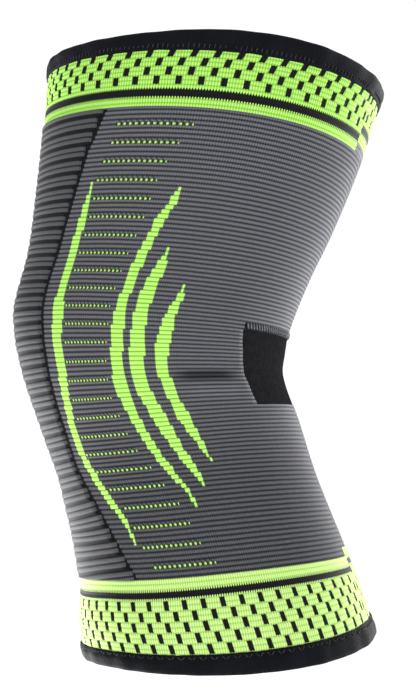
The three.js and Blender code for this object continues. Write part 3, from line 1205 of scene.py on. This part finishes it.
@dataclass(kw_only=True)
class Cuff(KnitWall):
    """A lime cuff with black blocks in a brick pattern, and the stripes between it and the leg."""

    slot: str = "cuff_knit"
    end: CuffEnd
    leg_edge: float
    tape_edge: float
    stripe_start: float
    stripe_end: float
    first_row: float
    first_brick: float
    slant: float
    slant_gain: float
    away: float
    row_courses: float
    block_share: float
    yarn: Yarn
    jog_turn: float
    columns: int = 392
    rows_per_course: int = 4
    wall: float = 0.0024
    bricks_round: float = 49.0
    rib_depth: float = 0.00035
    block_depth: float = 0.0004
    under_tape: float = 1.2
    # How soft the edges of the sunk blocks, the black yarn and the stripes are, and the stripes' teeth
    sunk_blur: float = 0.04
    block_blur: float = 0.02
    stripe_blur: float = 0.06
    teeth: float = 0.35

    def jogged(self, turn: Points, course: Points) -> Points:
        """Course of the pattern at a place, with the jog where the rounds begin."""
        past = np.mod(turn - self.jog_turn, 360.0)
        return course + JOG_COURSES * np.clip(1.0 - past / JOG_FADE, 0.0, 1.0)

    def block_mask(self, turn: Points, course: Points) -> Points:
        """How much of a black block each place has, 0 to 1.

        Args:
            turn: Degrees from the front.
            course: Courses of the pattern.

        Returns:
            The mask.
        """
        along = (course - self.first_row) * self.away / self.row_courses
        row = np.floor(along)
        within = along - row - 0.5
        slant = self.slant + self.slant_gain * row
        phase = (turn - self.first_brick) * self.bricks_round / 360.0 + row * 0.5 - within * slant
        middle = np.abs(np.mod(phase + 0.5, 1.0) - 0.5)
        half = self.block_share / 2
        block = 1.0 - smoothstep(half - self.sunk_blur, half + self.sunk_blur, middle)
        return block * (along > 0)

    def lay(self, across: Points, up: Points, inside: Points) -> Laid:
        """Lay the flat grid round the leg.

        Args:
            across: Share of the way round.
            up: Share of the way up.
            inside: Whether each point is on the lining.

        Returns:
            The laid points.
        """
        low, high = sorted((self.leg_edge, self.tape_edge + self.away * self.under_tape))
        course = mix(high, low, up)
        turn = across * 360.0
        pattern = self.jogged(turn, course)
        along = (pattern - self.first_row) * self.away * 2.0 / self.row_courses
        rib = np.abs(along - np.round(along)) * 2.0
        furrow = 1.0 - smoothstep(0.0, 0.55, rib)
        deeper = np.where(np.mod(np.round(along), 2) == 0, 1.0, 0.5)
        out = -self.rib_depth * furrow * deeper - self.block_depth * self.block_mask(turn, pattern)
        out = np.where(inside, -self.wall, out)
        return Laid(self.form.place(self.form.height_of(course), turn, out), turn, course)

    def dress(self) -> bpy.types.Material:
        """Make the lime knit with its black blocks and stripes.

        Returns:
            The material.
        """
        cloth = Cloth(self.name + "_knit", ClothFinish(roughness=0.85))
        past = ((cloth.turn - self.jog_turn + 360.0) / 360.0).fraction() * 360.0
        shift = ((past / JOG_FADE * -1.0) + 1.0).larger(0.0) * JOG_COURSES
        pattern = cloth.course + shift
        wale = whole_distance(cloth.turn * (WALES / 360.0))
        teeth = wale.ramp(0.1, 0.4) * self.teeth
        along = (pattern - self.stripe_end) * self.away
        brick = (pattern - self.first_row) * (self.away / self.row_courses)
        rib = whole_distance(brick * 2.0).ramp(0.02, 0.28)
        stitch = wale.ramp(0.08, 0.38)
        cloth.ground(self.yarn, (rib * 0.6 + 0.4) * (stitch * 0.62 + 0.38))
        row = brick.floor()
        within = brick - row - 0.5
        slant = within * (row * self.slant_gain + self.slant)
        phase = (cloth.turn - self.first_brick) * (self.bricks_round / 360.0) + row * 0.5 - slant
        middle = whole_distance(phase)
        half = self.block_share / 2
        block = middle.ramp(half + self.block_blur, half - self.block_blur) * brick.over(0.0)
        block = block * (within.size() + stitch * 0.04).ramp(0.5, 0.44)
        blur = self.stripe_blur
        width = abs(self.stripe_end - self.stripe_start)
        stripe = (along + teeth - 0.1).ramp(blur, -blur)
        stripe = stripe * (along - teeth + (width + 0.1)).ramp(-blur, blur)
        cloth.draw(block.larger(stripe), COAL_YARN, stitch)
        if self.end is CuffEnd.THIGH:
            grey = whole_distance(pattern).ramp(0.07, 0.27)
            cloth.draw(pattern.over(self.leg_edge - 0.25), SLATE_YARN, grey)
        return cloth.finished(rib * 0.6 + stitch * 0.4)

    def plan(self) -> WallPlan:
        """The flat grid of the cuff, sewn into a ring and run a little way under its tape."""
        rows = round((abs(self.tape_edge - self.leg_edge) + self.under_tape) * self.rows_per_course)
        return WallPlan(self.columns, rows, True, self.lay)


@dataclass(kw_only=True)
class RolledTape(KnitPiece):
    """The soft tape rolled over a rim, pinched by its row of stitches."""

    slot: str = "binding"
    held: str = "folded"
    end: CuffEnd
    seam_course: float
    rim_course: float
    stitch_count: int
    stitch_line: float
    section_points: int = 28
    steps: int = 240
    ring_radius: float = 10.0
    thickness: float = 0.0044
    proud: float = 0.0014
    pinch: float = 0.0006
    pinch_reach: float = 0.0016
    ripple: float = 0.00018
    seam_up: float = 0.0005
    # Powers that square the round section off, across the tape and along it
    square_across: float = 0.65
    square_along: float = 0.75
    rim_rise: float = 0.0
    rise_turn: float = 78.0
    rise_reach: float = 52.0
    # The ripples of the tape's outer face: how many all round, how strong, and where they start
    ripples: tuple[tuple[float, float, float], ...] = ((23.0, 1.0, 0.0), (37.0, 0.7, 1.3), (11.0, 0.6, 2.0))
    stitch_radius: float = 0.00022
    # A stitch's reach below and above the stitch line, and the steps where a slanting one starts and ends
    stitch_reach: tuple[float, float] = (0.0012, 0.0010)
    slant_reach: tuple[float, float] = (0.0008, 0.0005)
    slant_steps: tuple[float, float] = (0.34, 0.04)
    stitch_lean: float = 0.1

    def section(self, turn: Points, outward: Points, away: Points) -> tuple[Points, Points]:
        """Shape the tape's round section.

        Args:
            turn: Degrees from the front.
            outward: How far out on a circle of radius 1 each point is.
            away: How far from the seam toward the rim on that circle it is.

        Returns:
            How far outside the leg's face each point is, and its distance from the seam.
        """
        rim = float(self.form.height_of(self.rim_course))
        seam = float(self.form.height_of(self.seam_course))
        length = abs(rim - seam) + self.rim_rise * bump(turn - self.rise_turn, self.rise_reach)
        square_out = np.sign(outward) * np.abs(outward) ** self.square_across
        square_up = np.sign(away) * np.abs(away) ** self.square_along
        up = mix(self.seam_up, length, (square_up + 1.0) / 2.0)
        out = self.proud - self.thickness / 2 + square_out * self.thickness / 2
        wave = np.radians(turn)
        ripple = sum(share * np.sin(wave * count + start) for count, share, start in self.ripples)
        pinch = self.pinch * bump(up - self.stitch_line, self.pinch_reach) * (square_out > 0)
        return out - pinch + self.ripple * ripple * (square_out > 0), up

    def place(self, turn: Points, out: Points, up: Points) -> Points:
        """Points at a distance from the seam and outside the leg's face."""
        seam = float(self.form.height_of(self.seam_course))
        way = 1.0 if self.end is CuffEnd.THIGH else -1.0
        return self.form.place(seam + way * up, turn, out)

    def dress(self) -> bpy.types.Material:
        """Make the near-black tape."""
        cloth = Cloth(self.name + "_tape", ClothFinish(roughness=0.9, sheen=0.02, specular=0.08))
        grain = cloth.noise(1500.0, 2.0).ramp(0.3, 0.7)
        soft = cloth.noise(90.0, 2.0).ramp(0.3, 0.7)
        cloth.ground(TAPE_YARN, grain * 0.6 + soft * 0.4)
        return cloth.finished(grain)

    def build(self) -> bpy.types.Object:
        """Build the tape: a circle spun into a ring, then laid along the rim."""
        bm = bmesh.new()
        upright = Matrix.Rotation(math.pi / 2, 3, "X")
        circle = bmesh.ops.create_circle(bm, segments=self.section_points, radius=1.0, cap_ends=False)
        bmesh.ops.rotate(bm, verts=circle["verts"], cent=(0, 0, 0), matrix=upright)
        bmesh.ops.translate(bm, verts=circle["verts"], vec=(self.ring_radius, 0, 0))
        bmesh.ops.spin(
            bm, geom=bm.verts[:] + bm.edges[:], cent=(0, 0, 0), axis=(0, 0, 1), dvec=(0, 0, 0),
            angle=2 * math.pi, steps=self.steps, use_merge=True, use_duplicate=False,
        )
        ring = np.array([vert.co[:] for vert in bm.verts])
        turn = np.degrees(np.arctan2(ring[:, 1], ring[:, 0]))
        outward = np.hypot(ring[:, 0], ring[:, 1]) - self.ring_radius
        out, up = self.section(turn, outward, ring[:, 2])
        for vert, place in zip(bm.verts, self.place(turn, out, up)):
            vert.co = place
        face_outward(bm)
        piece = joined_piece(self.name, bm)
        piece.data.uv_layers.new(name="knit")
        return self.seat(piece, (self.dress(),))

    def build_stitches(self) -> bpy.types.Object:
        """Build the row of stitches that holds the tape: slanting pairs, or upright ones."""
        step = 360.0 / self.stitch_count
        middles = np.arange(self.stitch_count) * step
        lift = self.proud - self.pinch
        if self.end is CuffEnd.CALF:
            below, above = self.slant_reach
            far, near = self.slant_steps
            ways = (-1.0, 1.0)
            starts = [self.place(middles + way * step * far, lift, self.stitch_line - below) for way in ways]
            ends = [self.place(middles + way * step * near, lift, self.stitch_line + above) for way in ways]
        else:
            below, above = self.stitch_reach
            starts = [self.place(middles, lift, self.stitch_line - below)]
            ends = [self.place(middles + step * self.stitch_lean, lift, self.stitch_line + above)]
        name = self.name + "_stitches"
        return thread_piece(
            name, np.vstack(starts), np.vstack(ends), self.stitch_radius, THREAD_YARN, self.slot
        )


@dataclass(frozen=True)
class SoftLight:
    """A soft square light that looks at the sleeve. Degrees, metres and watts."""

    name: str
    azimuth: float
    elevation: float
    reach: float
    size: float
    power: float


STUDIO_LIGHTS = (
    SoftLight("front_light", azimuth=50.0, elevation=25.0, reach=1.6, size=1.2, power=2.0),
    SoftLight("right_edge_light", azimuth=198.0, elevation=5.0, reach=1.6, size=1.0, power=60.0),
    SoftLight("left_edge_light", azimuth=-74.0, elevation=-38.0, reach=0.58, size=0.3, power=12.0),
)


@dataclass
class Studio:
    """The camera, a plain pale floor and soft studio light."""

    camera_place: tuple[float, float, float] = (0.57595, -0.3037, -0.02335)
    camera_azimuth: float = 60.0
    camera_pitch: float = 2.0
    focal_pixels: float = 1444.0
    image_height: float = 700.0
    sensor: float = 36.0
    floor_height: float = -0.5
    floor_size: float = 12.0
    floor_white: float = 0.98
    world_light: float = 1.06

    def set_camera(self) -> None:
        """Stand the camera at the photograph's viewing angle."""
        data = bpy.data.cameras.new("studio_camera")
        data.sensor_fit = "VERTICAL"
        data.sensor_height = self.sensor
        data.lens = self.sensor * self.focal_pixels / self.image_height
        camera = bpy.data.objects.new("studio_camera", data)
        camera.location = self.camera_place
        turn = math.radians(self.camera_azimuth)
        camera.rotation_euler = (math.radians(90.0 + self.camera_pitch), 0.0, turn)
        bpy.context.collection.objects.link(camera)
        bpy.context.scene.camera = camera

    def lay_floor(self) -> None:
        """Lay the pale floor."""
        bm = bmesh.new()
        bmesh.ops.create_grid(bm, x_segments=1, y_segments=1, size=self.floor_size / 2)
        bmesh.ops.translate(bm, verts=bm.verts[:], vec=(0, 0, self.floor_height))
        floor = joined_piece("studio_floor", bm)
        material = bpy.data.materials.new("studio_floor")
        material.use_nodes = True
        shader = material.node_tree.nodes["Principled BSDF"]
        shader.inputs["Base Color"].default_value = (*[self.floor_white] * 3, 1.0)
        shader.inputs["Roughness"].default_value = 0.9
        floor.data.materials.append(material)

    def hang_light(self, soft: SoftLight) -> None:
        """Hang a soft light.

        Args:
            soft: Its place, size and power.
        """
        data = bpy.data.lights.new(soft.name, "AREA")
        data.shape = "SQUARE"
        data.size = soft.size
        data.energy = soft.power
        light = bpy.data.objects.new(soft.name, data)
        turn = math.radians(soft.azimuth)
        rise = math.radians(soft.elevation)
        way = Vector((math.sin(turn) * math.cos(rise), -math.cos(turn) * math.cos(rise), math.sin(rise)))
        light.location = way * soft.reach
        light.rotation_euler = way.to_track_quat("Z", "Y").to_euler()
        bpy.context.collection.objects.link(light)

    def set_light(self) -> None:
        """Light the sleeve: a bright surround, soft front light and a strong light on each edge."""
        world = bpy.data.worlds.new("studio_world")
        world.use_nodes = True
        background = world.node_tree.nodes["Background"]
        background.inputs["Color"].default_value = (1.0, 1.0, 1.0, 1.0)
        background.inputs["Strength"].default_value = self.world_light
        bpy.context.scene.world = world
        for soft in STUDIO_LIGHTS:
            self.hang_light(soft)

    def build(self) -> None:
        """Set up the whole studio, with colours shown as they are."""
        bpy.context.scene.view_settings.view_transform = "Standard"
        self.set_camera()
        self.lay_floor()
        self.set_light()


def main() -> None:
    """Build the sleeve in order, then the studio, and report each piece."""
    logging.basicConfig(level=logging.INFO, format="%(message)s")
    form = LegForm()
    lining = lining_cloth()
    window = KneeWindow(form=form)
    top_tape = RolledTape(
        form=form, end=CuffEnd.THIGH, name="top_rolled_tape", node="top_binding",
        seam_course=TOP_TAPE, rim_course=TOP_RIM,
        flat=(0.014, 0.47), stitch_count=220, stitch_line=0.0026, rim_rise=0.0016,
    )
    bottom_tape = RolledTape(
        form=form, end=CuffEnd.CALF, name="bottom_rolled_tape", node="bottom_binding",
        seam_course=BOTTOM_TAPE, rim_course=BOTTOM_RIM,
        flat=(0.014, 0.41), stitch_count=88, stitch_line=0.0019,
    )
    top_cuff = Cuff(
        form=form, end=CuffEnd.THIGH, name="top_brick_cuff", node="top_cuff",
        leg_edge=TOP_SEAM, tape_edge=TOP_TAPE,
        stripe_start=-3.6, stripe_end=-5.65, first_row=-6.45, first_brick=16.0, slant=0.0, slant_gain=0.05,
        flat=(0.45, 0.028), away=-1.0, row_courses=2.0, block_share=0.29,
        yarn=LIME_YARN, jog_turn=TOP_JOG,
    )
    bottom_cuff = Cuff(
        form=form, end=CuffEnd.CALF, name="bottom_brick_cuff", node="bottom_cuff",
        leg_edge=BOTTOM_SEAM, tape_edge=BOTTOM_TAPE,
        stripe_start=102.6, stripe_end=104.3, first_row=104.5, first_brick=5.0, slant=0.08, slant_gain=0.0,
        flat=(0.39, 0.032), away=1.0, row_courses=2.14, block_share=0.28,
        yarn=PALE_LIME_YARN, jog_turn=BOTTOM_JOG,
    )
    pieces = [
        LegTube(form=form).build(lining),
        FrontPanel(form=form).build(lining),
        window.build(lining),
        window.build_ladder(),
        top_cuff.build(lining),
        bottom_cuff.build(lining),
        top_tape.build(),
        top_tape.build_stitches(),
        bottom_tape.build(),
        bottom_tape.build_stitches(),
    ]
    for piece in pieces:
        LOG.info("%s: %d faces", piece.name, len(piece.data.polygons))
    Studio().build()


if __name__ == "__main__":
    main()
